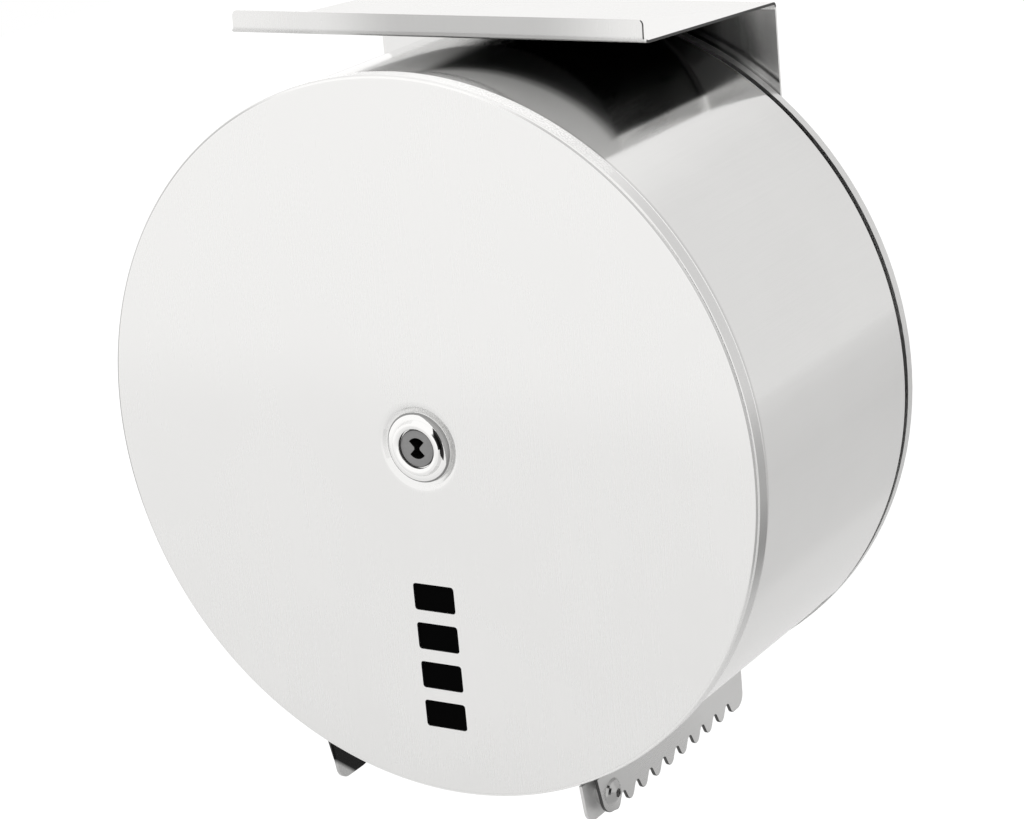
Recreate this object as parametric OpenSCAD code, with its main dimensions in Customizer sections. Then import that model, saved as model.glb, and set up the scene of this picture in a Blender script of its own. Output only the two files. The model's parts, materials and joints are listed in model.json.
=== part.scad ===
// Wall dispenser for one jumbo roll: drum cover on a side hinge, shelf, key lock, tear blades.
// Frame: +Z up, front faces -Y, origin on the drum's axis at the wall. Millimetres.
// Depths are heights above the wall, measured towards the front.

/* [Body] */
// Outside diameter of the front cap
body_d = 264; // [240:1:300]
// Depth from the wall to the front face
body_depth = 128; // [120:1:150]
// Thickness of the cap and drum sheet
sheet_t = 0.8; // [0.6:0.1:1.2]
// Depth of the cap's turned rim
cap_rim = 7.2; // [5:0.1:12]
// Outside bend radius at the edge of the cap
cap_bend_r = 1.2; // [0.9:0.1:2.5]
// Open gap between the drum and the back plate
rear_gap = 2.8; // [1.2:0.1:3]
// Angle of the drum's lower edges below the horizontal
drum_edge_angle = 41; // [32:1:46]
// Width of the drum's inward rear flange
drum_flange_w = 5; // [4.5:0.5:6]

/* [Back plate] */
// Step in from the cap's edge to the back plate's edge
plate_inset = 1.0; // [0.8:0.1:4]
// Thickness of the back plate
plate_t = 1.2; // [1:0.1:2]
// Height of the back plate's turned rim, base included
plate_rim = 5.2; // [4:0.1:8]
// Distance between wall holes, across and up
wall_pitch = 120; // [100:1:130]
// Diameter of the wall holes
wall_hole_d = 5.5; // [4.5:0.1:6.5]

/* [Shelf] */
// Thickness of the shelf sheet
shelf_t = 1.0; // [0.8:0.1:1.6]
// Width of the shelf
shelf_w = 169; // [150:1:190]
// Reach of the shelf from the wall
shelf_reach = 96; // [80:1:110]
// Height of the shelf's top face at the wall above the cap's top edge
shelf_rise = 1; // [1:0.5:20]
// Upward tilt of the shelf towards the front
shelf_tilt = 3.6; // [0:0.1:5]
// Height of the front upstand above the shelf
shelf_lip = 7; // [4:0.5:14]
// Inset of the upstand at each end
shelf_lip_inset = 1; // [0:0.5:6]
// Distance that the rear flange reaches below the lower wall holes
shelf_flange_margin = 14; // [10:1:30]

/* [Windows] */
// Number of sight windows
window_count = 4; // [1:1:5]
// Width of a window
window_w = 17; // [10:0.5:24]
// Height of a window
window_h = 10.2; // [6:0.1:12]
// Distance from window to window
window_pitch = 15; // [13:0.5:16]
// Distance from the axis down to the first window's top edge
window_top = 51.5; // [40:0.5:56]
// Corner radius of a window
window_r = 1.2; // [0.5:0.1:2.5]
// Thickness of the smoked strip behind the windows
strip_t = 1.5; // [1:0.1:3]

/* [Lock] */
// Diameter of the pressed seat around the lock
seat_d = 30.8; // [30:0.2:40]
// Depth of the pressed seat
seat_depth = 1.0; // [0.5:0.1:2]
// Outside diameter of the chrome bezel
bezel_d = 26; // [25.6:0.2:28]
// Height of the bezel's crest above the seat
bezel_h = 3.3; // [2.8:0.1:5]
// Diameter of the threaded barrel
barrel_d = 19; // [18:0.5:20]
// Length of the barrel behind the seat face
barrel_len = 13.7; // [12:0.1:16]
// Diameter of the key plug
plug_d = 13.8; // [13:0.1:15]
// Radial clearance of turning fits
turn_fit = 0.05; // [0.02:0.01:0.1]
// Reach of the cam from the lock axis
cam_reach = 16.5; // [15:0.5:19]
// Clear gap between the cam and the striker
cam_gap = 0.5; // [0.3:0.1:1]

/* [Tear blades] */
// Distance from the centre to a blade's outer face
blade_x = 58; // [50:0.5:64]
// Thickness of a blade
blade_t = 1.3; // [1:0.1:2]
// Distance from the cap's lower edge down to the tooth tips
blade_drop = 4.6; // [3:0.1:10]
// Depth of a tooth
tooth_depth = 4.9; // [3:0.1:6]
// Distance from tooth to tooth
tooth_pitch = 10.1; // [8:0.1:11]
// Greatest number of gaps between teeth
gullet_max = 9; // [4:1:9]
// Thickness of an outlet panel
panel_t = 1.2; // [0.8:0.1:1.6]
// Gap between a blade and its lug
blade_gap = 3.0; // [1:0.1:3.4]
// Shank diameter of the blade screws
blade_screw_d = 5; // [4:0.5:5]

/* [Roll hub] */
// Outside diameter of the core hub
hub_d = 43; // [36:1:46]
// Diameter of the hub's rear flange
hub_flange_d = 84; // [60:1:90]
// Wall thickness of the hub
hub_wall = 2.5; // [2:0.1:4]
// Diameter of the spindle shaft
shaft_d = 12; // [10:0.5:14]
// Diameter of the spindle flange
base_flange_d = 68; // [64:1:74]
// Pitch circle of the spindle studs
stud_pcd = 50; // [46:1:52]

/* [Hinge] */
// Diameter of the hinge pin
pin_d = 3; // [2.5:0.1:3.4]
// Outside diameter of the hinge knuckles
knuckle_d = 6; // [5.6:0.1:7]
// Length of the hinge
hinge_len = 60; // [50:1:70]
// Clearance between the knuckles and the drum
hinge_gap = 1.8; // [1.4:0.1:3]
// Thickness of the hinge leaves
leaf_t = 1.2; // [1:0.1:1.4]

/* [Hidden] */

steel = [0.80, 0.80, 0.79];
chrome = [0.90, 0.90, 0.92];
zinc = [0.62, 0.63, 0.65];
rubber = [0.10, 0.10, 0.10];
nylon = [0.92, 0.92, 0.88];
smoke = [0.05, 0.05, 0.06];
plug_grey = [0.45, 0.45, 0.46];

e = 0.01;                                    // overshoot of cutting tools
fine = 180;                                  // facets of the large turned sheets
round_fn = 64;                               // facets of small round pieces

// Cap and drum
cap_r = body_d / 2;
cap_in = body_depth - sheet_t;               // inner face of the front
drum_r = cap_r - sheet_t;                    // drum fits inside the cap's rim
drum_front = body_depth - cap_bend_r;        // stops below the cap's bend
rim_end = body_depth - cap_rim;
plate_top = shelf_t + plate_rim;             // front edge of the back plate's rim
plate_face = shelf_t + plate_t;              // front face of the back plate
plate_r = cap_r - plate_inset;
drum_rear = plate_top + rear_gap;
shelf_z = cap_r + shelf_rise;
seat_face = body_depth - seat_depth;
seat_back = seat_face - sheet_t;
seat_r = seat_d / 2;
seat_flat_r = seat_r - 1.9;

shelf_flange_low = -wall_pitch / 2 - shelf_flange_margin;

// Windows
strip_margin = 5;
strip_w = window_w + 2 * strip_margin;
windows_h = (window_count - 1) * window_pitch + window_h;

// Outlet panels and blades
panel_r = drum_r - sheet_t;                  // outer radius of a panel, inside the drum
panel_lap = 11;                              // degrees of lap inside the drum
lug_x = blade_x - blade_t - blade_gap;       // outer face of the lugs
panel_rear = drum_rear + sheet_t + 0.2;
panel_front = cap_in - 0.3;
blade_tip_z = cap_r + blade_drop;
blade_top_z = blade_tip_z - 17;
notch_top = sqrt(pow(cap_r - sheet_t, 2) - pow(lug_x, 2)) - 0.4;
notch_low = sqrt(pow(cap_r, 2) - pow(lug_x - panel_t, 2)) + 0.4;
flange_z = notch_low + 0.4;                  // lower edge of a panel's flange
blade_rear = 12;
gullet_z = blade_tip_z - tooth_depth;
gap_r = 0.15 * tooth_pitch;
tip_r = 0.255 * tooth_pitch;
gap_to_tip = tooth_depth - gap_r - tip_r;    // height between the centres of the two arcs
flank = asin((gap_r + tip_r) / norm([tooth_pitch / 2, gap_to_tip])) + atan(2 * gap_to_tip / tooth_pitch);
tab_front = panel_front - 3.4;               // front edge of the blade's tab
last_gullet = tab_front - 17.7;
gullet_count = min(gullet_max, floor((last_gullet - blade_rear - tooth_pitch) / tooth_pitch) + 1);
first_gullet = last_gullet - (gullet_count - 1) * tooth_pitch;
screw_h = tab_front - 10;
screw_z = blade_tip_z - 8;
lug_tip_z = blade_tip_z + 0.8;
lug_len = 23.4;
rear_lug_tip_z = blade_tip_z - 6;
tongue_h = blade_rear + 9;
tongue_w = 8;
tongue_z = blade_top_z + 5;
tongue_h_z = 3;
screw_head_d = 2.05 * blade_screw_d;
screw_head_h = 0.52 * blade_screw_d;

// Lock
barrel_r = barrel_d / 2;
barrel_back = seat_face - barrel_len;
plug_r = plug_d / 2;
head_r = barrel_r + 2;
head_h = 1.2;
plug_face = seat_face + bezel_h - 1.2;
lock_nut_t = 4.5;
lock_nut_af = barrel_d + 5;
lock_washer_t = 1.0;
cam_t = 1.6;
cam_front = barrel_back - 0.4;
cam_back = cam_front - cam_t;
cam_w = 10;
cam_square = 7;
cam_screw_d = 4;
cam_head_h = 2.4;
key_depth = 8;
key_lobe_r = 0.28 * plug_d;
key_angle = 38;                              // degrees above the horizontal at which a sector ends

// Spindle and hub
boss_r = 13;
boss_top = plate_face + 12.6;
base_t = 2.5;
stud_d = 4;
washer_r = 12;
washer_t = 1.0;
front_washer_t = 1.5;
end_float = 0.1;
hub_rear = boss_top + washer_t + end_float;
circlip_t = 1.2;
clip_float = 0.1;
cam_room = 9.5;                              // from the shaft's end to the cam
shaft_top = cam_back - cam_room;
circlip_rear = shaft_top - clip_float - circlip_t;
hub_front = circlip_rear - clip_float - front_washer_t - end_float;
hub_len = hub_front - hub_rear;
hub_r = hub_d / 2;
shaft_r = shaft_d / 2;
striker_t = 1.5;
lip_back = cam_front + cam_gap;
lip_top = lip_back + striker_t;
arm_in = cam_reach + 1.5;
lip_in = barrel_r + 1.5;
striker_half = 8;
striker_screw_d = 5;

// Hinge
hinge_x = drum_r + hinge_gap + knuckle_d / 2;
hinge_h = drum_rear;
knuckle_r = knuckle_d / 2;
pin_r = pin_d / 2;
knuckle_gap = 0.2;
mid_half = hinge_len / 6;
leaf_half_angle = asin(hinge_len / 2 / drum_r);
leaf_start = hinge_h + knuckle_r + 1;
leaf_end = leaf_start + 24;
rivet_r = 1.6;
rivet_head_r = 3.2;
rivet_head_h = 1.2;
hinge_rivet_angle = 9;
base_leaf_in = plate_r - 31;
leaf_rivet_inset = 8;
rivet_cut = 10;                              // length of the tool that cuts a rivet hole
buffer_r = 2.5;
buffer_angles = [40, 140, -28, 208];

// Turns a shape made along +Z so that it stands out from the wall along -Y
module on_axis() { rotate([90, 0, 0]) children(); }

// Ring or disc on the drum's axis between two depths
module disc(r, h0, h1, fn = round_fn) {
    on_axis() translate([0, 0, h0]) cylinder(r = r, h = h1 - h0, $fn = fn);
}

// Cylinder parallel to the axis at a place on the front view
module peg(x, z, r, h0, h1, fn = round_fn) {
    translate([x, 0, z]) disc(r, h0, h1, fn);
}

// Rivet or screw head with a domed top, on the wall side of depth h
module domed_head(x, z, r, h0, height) {
    translate([x, 0, z]) on_axis() translate([0, 0, h0]) dome(r, height);
}

// Low dome: a cap of a sphere turned from its own arc
module dome(r, height) {
    steps = 6;
    big = (r * r + height * height) / (2 * height);
    sweep = asin(r / big);
    rotate_extrude($fn = 48) polygon(concat([[0, 0]],
        [for (i = [0:steps]) let (a = sweep * (1 - i / steps)) [big * sin(a), height - big + big * cos(a)]]));
}

// Flat plate parallel to the side view; outline in (depth, height), outer face at x
module side_plate(x, t) {
    translate([x, 0, 0]) rotate([90, 0, -90]) linear_extrude(t) children();
}

// Rectangle with round corners, centred on x and hanging from z = 0
module window_shape() {
    x = window_w / 2 - window_r;
    translate([-x, -window_h]) square([2 * x, window_h]);
    translate([-window_w / 2, -window_h + window_r]) square([window_w, window_h - 2 * window_r]);
    for (sx = [-x, x], z = [-window_r, window_r - window_h]) translate([sx, z]) circle(window_r, $fn = 32);
}

// Points of an arc about (cx, cy)
function arc_points(cx, cy, r, a0, a1, steps) =
    [for (i = [0:steps]) let (a = a0 + (a1 - a0) * i / steps) [cx + r * cos(a), cy + r * sin(a)]];

// Sheet profile swept round the axis over part of a turn, from angle a0 over angle sweep
module swept_sheet(a0, sweep, profile) {
    on_axis() rotate([0, 0, a0]) rotate_extrude(angle = sweep, $fn = fine) polygon(profile);
}

module at_wall_holes() {
    for (x = [-1, 1], z = [-1, 1]) translate([x * wall_pitch / 2, 0, z * wall_pitch / 2]) children();
}

module at_studs() {
    for (a = [45:90:315]) translate([stud_pcd / 2 * cos(a), 0, stud_pcd / 2 * sin(a)]) children();
}

module at_shelf_rivets() {
    for (x = [-1, 1], z = [-0.25, 1.4]) translate([x * wall_pitch * 0.62, 0, z * wall_pitch / 2]) children();
}

module at_base_rivets() {
    for (z = [-1, 0, 1]) translate([-base_leaf_in - leaf_rivet_inset, 0, z * hinge_len / 3]) children();
}

// ---- Base ----

module back_plate() {
    bend = plate_t + 0.6;
    rim_profile = concat([[0, shelf_t]],
        arc_points(plate_r - bend, shelf_t + bend, bend, -90, 0, 6),
        [[plate_r, plate_top], [plate_r - plate_t, plate_top]],
        arc_points(plate_r - bend, shelf_t + bend, bend - plate_t, 0, -90, 4),
        [[0, plate_face]]);
    color(steel) difference() {
        union() {
            on_axis() rotate_extrude($fn = fine) polygon(rim_profile);
            at_studs() disc(stud_d / 2, plate_face - e, plate_face + 9, 32);
        }
        at_wall_holes() disc(wall_hole_d / 2, -1, plate_top, 32);
        at_shelf_rivets() disc(rivet_r, -1, plate_top, 32);
        at_base_rivets() disc(rivet_r, -1, plate_top, 32);
    }
}

// Point of the tilted shelf: u along its top face from the wall, v square to it
function on_shelf(u, v) =
    [u * cos(shelf_tilt) - v * sin(shelf_tilt), shelf_z + u * sin(shelf_tilt) + v * cos(shelf_tilt)];

// The bent sheet seen from the side: rear flange, rear bend, plate, front bend, upstand
module shelf_section() {
    t = shelf_t;
    rear_r = t + 1;
    front_r = t + 1.2;
    rear_z = shelf_z + rear_r * tan(shelf_tilt) - rear_r / cos(shelf_tilt);
    polygon(concat([[0, shelf_flange_low]],
        arc_points(rear_r, rear_z, rear_r, 180, 90 + shelf_tilt, 6),
        [for (a = [270:15:360]) on_shelf(shelf_reach - front_r + (front_r - t) * cos(a),
            front_r - t + (front_r - t) * sin(a))],
        [on_shelf(shelf_reach - t, shelf_lip), on_shelf(shelf_reach, shelf_lip)],
        [for (a = [360:-15:270]) on_shelf(shelf_reach - front_r + front_r * cos(a), front_r - t + front_r * sin(a))],
        arc_points(rear_r, rear_z, rear_r - t, 90 + shelf_tilt, 180, 6),
        [[t, shelf_flange_low]]));
}

// Front view of the shelf: full width below the upstand, which is narrower and has round corners
module shelf_outline() {
    r = 2;
    base = on_shelf(shelf_reach, shelf_t * 0.5)[1];
    top = on_shelf(shelf_reach, shelf_lip)[1];
    half = shelf_w / 2 - shelf_lip_inset;
    polygon(concat([[-shelf_w, shelf_flange_low - 1], [-shelf_w, base], [-half, base]],
        arc_points(-half + r, top - r, r, 180, 90, 6),
        arc_points(half - r, top - r, r, 90, 0, 6),
        [[half, base], [shelf_w, base], [shelf_w, shelf_flange_low - 1]]));
}

module shelf() {
    color(steel) difference() {
        intersection() {
            side_plate(shelf_w / 2, shelf_w) shelf_section();
            on_axis() translate([0, 0, -1]) linear_extrude(shelf_reach + 10) shelf_outline();
        }
        at_wall_holes() disc(wall_hole_d / 2, -1, plate_top, 32);
        at_shelf_rivets() disc(rivet_r, -1, plate_top, 32);
    }
}

module rivet_set(r, h0, h1) {
    disc(r, h0, h1, 32);
    domed_head(0, 0, rivet_head_r, h1, rivet_head_h);
}

module shelf_rivets() {
    color(zinc) at_shelf_rivets() rivet_set(rivet_r, 0, plate_face);
}

module hinge_rivets_base() {
    color(zinc) at_base_rivets() rivet_set(rivet_r, 0, plate_face);
}

// Hinge knuckle between two heights, with its bore
module knuckle(z0, z1, bore_r) {
    translate([-hinge_x, -hinge_h, z0]) difference() {
        cylinder(r = knuckle_r, h = z1 - z0, $fn = round_fn);
        translate([0, 0, -1]) cylinder(r = bore_r, h = z1 - z0 + 2, $fn = round_fn);
    }
}

module hinge_leaf_base() {
    outer = hinge_x + knuckle_r;
    color(steel) {
        difference() {
            translate([-outer, -shelf_t, -hinge_len / 2])
                cube([outer - base_leaf_in, shelf_t, hinge_len]);
            at_base_rivets() disc(rivet_r, -1, plate_top, 32);
        }
        for (s = [-1, 1]) {
            z0 = s > 0 ? mid_half + knuckle_gap : -hinge_len / 2;
            z1 = s > 0 ? hinge_len / 2 : -mid_half - knuckle_gap;
            difference() {
                translate([-outer, -hinge_h, z0]) cube([leaf_t, hinge_h - shelf_t, z1 - z0]);
                translate([-hinge_x, -hinge_h, z0 - 1])
                    cylinder(r = knuckle_r - 0.3, h = z1 - z0 + 2, $fn = round_fn);
            }
            knuckle(z0, z1, pin_r);
        }
    }
}

module hinge_pin() {
    color(zinc) translate([-hinge_x, -hinge_h, 0]) {
        translate([0, 0, -hinge_len / 2]) cylinder(r = pin_r, h = hinge_len, $fn = round_fn);
        for (s = [0, 180]) rotate([s, 0, 0]) translate([0, 0, hinge_len / 2]) dome(knuckle_r - 0.4, 1.2);
    }
}

module spindle_base() {
    color(zinc) difference() {
        union() {
            disc(base_flange_d / 2, plate_face, plate_face + base_t);
            disc(boss_r, plate_face, boss_top);
            on_axis() translate([0, 0, plate_face + base_t])
                cylinder(r1 = boss_r + 2, r2 = boss_r, h = 2, $fn = round_fn);
        }
        disc(shaft_r, plate_face - 1, boss_top + 1);
        at_studs() disc(stud_d / 2 + 0.2, plate_face - 1, plate_face + base_t + 1, 32);
    }
}

// Hexagon nut on the axis direction
module hex_nut(af, t, bore_r) {
    difference() {
        cylinder(r = af / 2 / cos(30), h = t, $fn = 6);
        translate([0, 0, -1]) cylinder(r = bore_r, h = t + 2, $fn = 32);
    }
}

module spindle_nuts() {
    color(zinc) at_studs() on_axis() translate([0, 0, plate_face + base_t]) hex_nut(7, 3.2, stud_d / 2);
}

module spindle_shaft() {
    color(zinc) difference() {
        disc(shaft_r, plate_face, shaft_top);
        disc(striker_screw_d / 2, shaft_top - 15, shaft_top + 1, 32);
        difference() {
            disc(shaft_r + 1, circlip_rear - 0.05, circlip_rear + circlip_t + 0.05);
            disc(shaft_r - 0.6, circlip_rear - 1, circlip_rear + circlip_t + 1);
        }
    }
}

module thrust_washer_rear() {
    color(nylon) difference() {
        disc(washer_r, boss_top, boss_top + washer_t);
        disc(shaft_r + 0.2, boss_top - 1, boss_top + washer_t + 1);
    }
}

module thrust_washer_front() {
    h0 = hub_front + end_float;
    color(nylon) difference() {
        disc(washer_r, h0, h0 + front_washer_t);
        disc(shaft_r + 0.2, h0 - 1, h0 + front_washer_t + 1);
    }
}

module spindle_circlip() {
    h1 = circlip_rear + circlip_t;
    color(zinc) difference() {
        disc(shaft_r + 2.6, circlip_rear, h1);
        disc(shaft_r - 0.6, circlip_rear - 1, h1 + 1);
        translate([-2, -h1 - 1, 0]) cube([4, circlip_t + 2, shaft_r + 4]);
    }
}

// Bracket on the end of the shaft: the cam turns in behind its lip
module lock_striker() {
    z0 = -striker_half;
    tall = 2 * striker_half;
    color(zinc) difference() {
        union() {
            translate([-9, -shaft_top - striker_t, z0]) cube([arm_in + 9, striker_t, tall]);
            translate([arm_in, -lip_top, z0]) cube([striker_t, lip_top - shaft_top, tall]);
            translate([lip_in, -lip_top, z0]) cube([arm_in - lip_in + e, striker_t, tall]);
        }
        disc(striker_screw_d / 2, shaft_top - 1, shaft_top + striker_t + 1, 32);
    }
}

module striker_screw() {
    h0 = shaft_top + striker_t;
    color(zinc) difference() {
        union() {
            disc(striker_screw_d / 2, shaft_top - 14, h0, 32);
            domed_head(0, 0, 4.5, h0, 2.6);
        }
        on_axis() translate([0, 0, h0 + 1]) cylinder(r = 1.7, h = 3, $fn = 6);
    }
}

module cover_buffers() {
    lift = drum_rear - 0.1;
    at_r = drum_r - drum_flange_w / 2 - 1.5;
    color(rubber) for (a = buffer_angles) translate([at_r * cos(a), 0, at_r * sin(a)]) {
        disc(buffer_r, plate_face, lift - 1.5, 48);
        domed_head(0, 0, buffer_r, lift - 1.5, 1.5);
    }
}

// ---- Roll hub ----

module core_hub() {
    bore_r = shaft_r + turn_fit;
    sleeve_r = bore_r + 3;
    inner_r = hub_r - hub_wall;
    web_t = 4;
    chamfer = 2;
    profile = [[bore_r, hub_rear], [hub_flange_d / 2 - 1, hub_rear], [hub_flange_d / 2, hub_rear + 1],
        [hub_flange_d / 2, hub_rear + 2], [hub_flange_d / 2 - 1, hub_rear + 3], [hub_r, hub_rear + 3],
        [hub_r, hub_front - chamfer], [hub_r - chamfer, hub_front], [bore_r, hub_front]];
    color(nylon) {
        difference() {
            on_axis() rotate_extrude($fn = 96) polygon(profile);
            difference() {
                disc(inner_r, hub_rear - 1, hub_front - web_t, 96);
                disc(sleeve_r, hub_rear - 2, hub_front, 96);
                for (a = [0:60:300]) rotate([0, -a, 0])
                    translate([sleeve_r - 1, -hub_front, -1]) cube([inner_r - sleeve_r + 2, hub_len, 2]);
            }
        }
    }
}

// ---- Cover ----

module front_cap() {
    t = sheet_t;
    b = cap_bend_r;
    profile = concat([[barrel_r + 0.1, seat_back], [seat_flat_r, seat_back], [seat_r, cap_in]],
        arc_points(cap_r - b, body_depth - b, b - t, 90, 0, 4),
        [[cap_r - t, rim_end], [cap_r, rim_end]],
        arc_points(cap_r - b, body_depth - b, b, 0, 90, 8),
        [[seat_r, body_depth], [seat_flat_r, seat_face], [barrel_r + 0.1, seat_face]]);
    color(steel) difference() {
        on_axis() rotate_extrude($fn = fine) polygon(profile);
        for (i = [0:window_count - 1])
            translate([0, -cap_in + 3, -window_top - i * window_pitch])
                rotate([90, 0, 0]) linear_extrude(8) window_shape();
    }
}

module drum_shell() {
    t = sheet_t;
    rear = drum_rear;
    profile = [[drum_r - drum_flange_w, rear], [drum_r - 0.5, rear], [drum_r, rear + 0.5],
        [drum_r, drum_front], [drum_r - t, drum_front], [drum_r - t, rear + t],
        [drum_r - drum_flange_w, rear + t]];
    color(steel) difference() {
        swept_sheet(-drum_edge_angle, 180 + 2 * drum_edge_angle, profile);
        at_cover_rivets() cylinder(r = rivet_r, h = rivet_cut, center = true, $fn = 32);
    }
}

// Places on the hinge side of the drum, local +Z pointing outwards
module at_cover_rivets() {
    for (a = [-hinge_rivet_angle, hinge_rivet_angle], h = [leaf_start + 5, leaf_end - 5])
        rotate([0, a, 0]) translate([-drum_r, -h, 0]) rotate([0, -90, 0]) children();
}

// Points of a lug that hangs from the flange: rear edge, round corners, front edge
function lug_points(rear, front, tip, slope, r) = concat([[rear, -flange_z]],
    arc_points(rear + r, -tip + r, r, 180, 270, 6),
    arc_points(front - slope - r, -tip + r, r, 270, 350, 6));

// Front view of the right-hand panel: arc inside the drum, bend, flange that hangs straight down
module panel_section() {
    t = panel_t;
    steps = 20;
    start = panel_lap - drum_edge_angle;
    polygon(concat(arc_points(0, 0, panel_r, start, -acos(lug_x / panel_r), steps),
        [[lug_x, -lug_tip_z - 1], [lug_x - t, -lug_tip_z - 1]],
        arc_points(0, 0, panel_r - t, -acos((lug_x - t) / (panel_r - t)), start, steps)));
}

// Side view of the panel: everything above the flange's edge, the two lugs, and a notch that clears
// the cap's rim
module panel_outline() {
    polygon(concat([[panel_rear, 0], [panel_rear, -flange_z]],
        lug_points(panel_rear + 4, panel_rear + 22, rear_lug_tip_z, 0, 3),
        [[panel_rear + 22, -flange_z]],
        lug_points(panel_front - lug_len, panel_front, lug_tip_z, 1.8, 6),
        [[panel_front, -notch_low], [rim_end - 0.4, -notch_low], [rim_end - 0.4, -notch_top],
            [panel_front, -notch_top], [panel_front, 0]]));
}

module outlet_panel() {
    color(steel) difference() {
        intersection() {
            on_axis() translate([0, 0, 1]) linear_extrude(body_depth) panel_section();
            side_plate(cap_r, cap_r) panel_outline();
        }
        translate([lug_x - 5, -tongue_h - tongue_w - 0.4, -tongue_z - 0.4])
            cube([10, tongue_w + 0.8, tongue_h_z + 0.8]);
    }
}

module outlet_panel_right() { outlet_panel(); }
module outlet_panel_left() { mirror([1, 0, 0]) outlet_panel(); }

// One gap and the tooth after it, from the gap's centre: two arcs joined by a straight flank
function tooth_points(h) = concat(
    arc_points(h, -gullet_z - gap_r, gap_r, 90 + flank, 90 - flank, 8),
    arc_points(h + tooth_pitch / 2, -blade_tip_z + tip_r, tip_r, 270 - flank, 270 + flank, 8));

module blade_outline() {
    corner = 5;
    nose = 7.6;
    all = [for (k = [0:gullet_count - 2]) each tooth_points(first_gullet + k * tooth_pitch)];
    polygon(concat([[blade_rear, -blade_top_z], [blade_rear, -blade_tip_z + corner]],
        arc_points(blade_rear + corner, -blade_tip_z + corner, corner, 180, 270, 6),
        arc_points(first_gullet - tooth_pitch / 2, -blade_tip_z + tip_r, tip_r, 270, 270 + flank, 4),
        all,
        arc_points(last_gullet, -gullet_z - gap_r, gap_r, 90 + flank, 90 - flank, 8),
        arc_points(last_gullet + tooth_pitch / 2, -blade_tip_z + tip_r, tip_r, 270 - flank, 270, 4),
        arc_points(tab_front - nose - 2.6, -blade_tip_z + 0.6 + nose, nose, 270, 345, 8),
        [[tab_front, -blade_top_z]]));
}

module tear_blade() {
    color(steel) difference() {
        union() {
            side_plate(blade_x, blade_t) blade_outline();
            // tongue that hooks through the rear lug
            translate([lug_x - panel_t - 1.5, -tongue_h - tongue_w, -tongue_z])
                cube([blade_x - lug_x + panel_t + 1.5 - e, tongue_w, tongue_h_z]);
        }
        translate([blade_x, -screw_h, -screw_z]) rotate([0, 90, 0])
            cylinder(r = blade_screw_d / 2 + 0.2, h = 20, center = true, $fn = 48);
    }
}

module tear_blade_right() { tear_blade(); }
module tear_blade_left() { mirror([1, 0, 0]) tear_blade(); }

// Both blade screw places, local +Z pointing outwards from x = 0
module at_blade_screws() {
    for (s = [0, 1]) mirror([s, 0, 0]) translate([0, -screw_h, -screw_z]) rotate([0, 90, 0]) children();
}

// Tapped spacers, welded to the outer faces of the lugs
module blade_spacers() {
    color(zinc) at_blade_screws() difference() {
        translate([0, 0, lug_x]) cylinder(r = blade_screw_d, h = blade_gap, $fn = 48);
        translate([0, 0, lug_x - 1]) cylinder(r = blade_screw_d / 2, h = blade_gap + 2, $fn = 48);
    }
}

module blade_screws() {
    color(zinc) at_blade_screws() difference() {
        union() {
            translate([0, 0, lug_x]) cylinder(r = blade_screw_d / 2, h = blade_x - lug_x, $fn = 48);
            translate([0, 0, blade_x]) dome(screw_head_d / 2, screw_head_h);
        }
        translate([0, 0, blade_x + screw_head_h - 1.7]) cylinder(r = 1.75, h = 5, $fn = 6);
    }
}

module sight_window() {
    color(smoke) translate([-strip_w / 2, -cap_in, -window_top - windows_h - strip_margin])
        cube([strip_w, strip_t, windows_h + 2 * strip_margin]);
}

module hinge_leaf_cover() {
    outer = drum_r + leaf_t;
    profile = [[drum_r, leaf_start], [outer, leaf_start], [outer, leaf_end], [drum_r, leaf_end]];
    color(steel) difference() {
        union() {
            swept_sheet(180 - leaf_half_angle, 2 * leaf_half_angle, profile);
            difference() {
                translate([-hinge_x, -leaf_start - 2, -mid_half])
                    cube([hinge_x - drum_r + 1, leaf_start + 2 - hinge_h - 1.4, 2 * mid_half]);
                disc(drum_r, 0, body_depth, fine);
                translate([-hinge_x, -hinge_h, -mid_half - 1])
                    cylinder(r = knuckle_r - 0.3, h = 2 * mid_half + 2, $fn = round_fn);
            }
            knuckle(-mid_half, mid_half, pin_r + turn_fit);
        }
        at_cover_rivets() cylinder(r = rivet_r, h = rivet_cut, center = true, $fn = 32);
    }
}

module hinge_rivets_cover() {
    color(zinc) at_cover_rivets() {
        translate([0, 0, -sheet_t - 0.04]) cylinder(r = rivet_r, h = sheet_t + leaf_t + 0.04, $fn = 32);
        translate([0, 0, leaf_t]) dome(rivet_head_r - 0.6, 1.0);
        translate([0, 0, -sheet_t - 0.04]) mirror([0, 0, 1]) dome(rivet_head_r - 0.6, 0.8);
    }
}

// Flat shoulder, steep bevel, then a rounded crest that falls into the hole for the plug
module lock_bezel() {
    s = seat_face;
    r = bezel_d / 2;
    hole = plug_r + 0.3;
    crest = hole + 0.24 * (r - hole);        // radius of the crest
    shoulder = hole + 0.54 * (r - hole);     // radius at which the bevel starts
    foot = 0.5;
    step = foot + 0.45 * bezel_h;            // height at which the bevel starts
    fall = 0.7;                              // drop from the crest to the hole
    outer = [for (a = [0:15:90]) [shoulder + (r - shoulder) * cos(a), s + foot + (step - foot) * sin(a)]];
    inner = [for (a = [50:13:180]) [crest + (crest - hole) * cos(a), s + bezel_h - fall * (1 - sin(a))]];
    color(chrome) on_axis() rotate_extrude($fn = 96) polygon(concat(
        [[head_r, s], [r, s]], outer, inner, [[hole, s + head_h], [head_r, s + head_h]]));
}

module lock_barrel() {
    color(chrome) difference() {
        union() {
            disc(barrel_r, barrel_back, seat_face + 0.5);
            disc(head_r, seat_face, seat_face + head_h);
        }
        disc(plug_r + turn_fit, barrel_back - 1, seat_face + 5);
    }
}

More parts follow.
